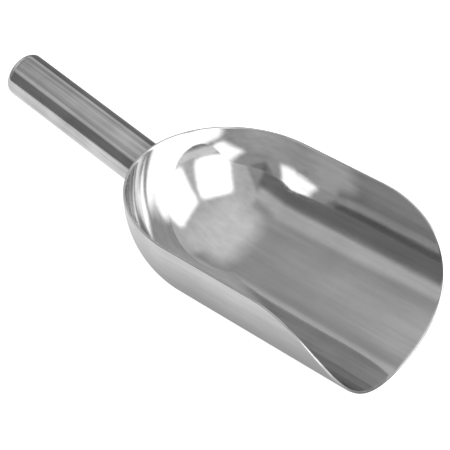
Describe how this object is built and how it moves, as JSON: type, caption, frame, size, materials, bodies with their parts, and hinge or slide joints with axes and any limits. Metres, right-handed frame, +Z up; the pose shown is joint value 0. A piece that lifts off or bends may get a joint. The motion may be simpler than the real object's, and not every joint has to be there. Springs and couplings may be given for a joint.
{
  "type": "ice scoop",
  "caption": "Round-bottomed ice scoop in polished stainless steel: a half-round bowl with a domed back and an open curved mouth, on a raised round tube handle.",
  "frame": {"origin": "middle of the overall length and width, on the surface that the bowl rests on", "axes": "+X from the handle towards the mouth, +Z up, Y across with the scoop symmetric about Y = 0"},
  "size_m": [0.254, 0.114, 0.0708],
  "materials": {
    "bowl_steel": "polished",
    "handle_steel": "polished",
    "weld_steel": "polished"
  },
  "bodies": {
    "root": {"bowl": "bowl_steel", "handle_tube": "handle_steel", "handle_end_cap": "handle_steel", "end_cap_weld": "weld_steel", "handle_weld": "weld_steel"}
  },
  "joints": []
}
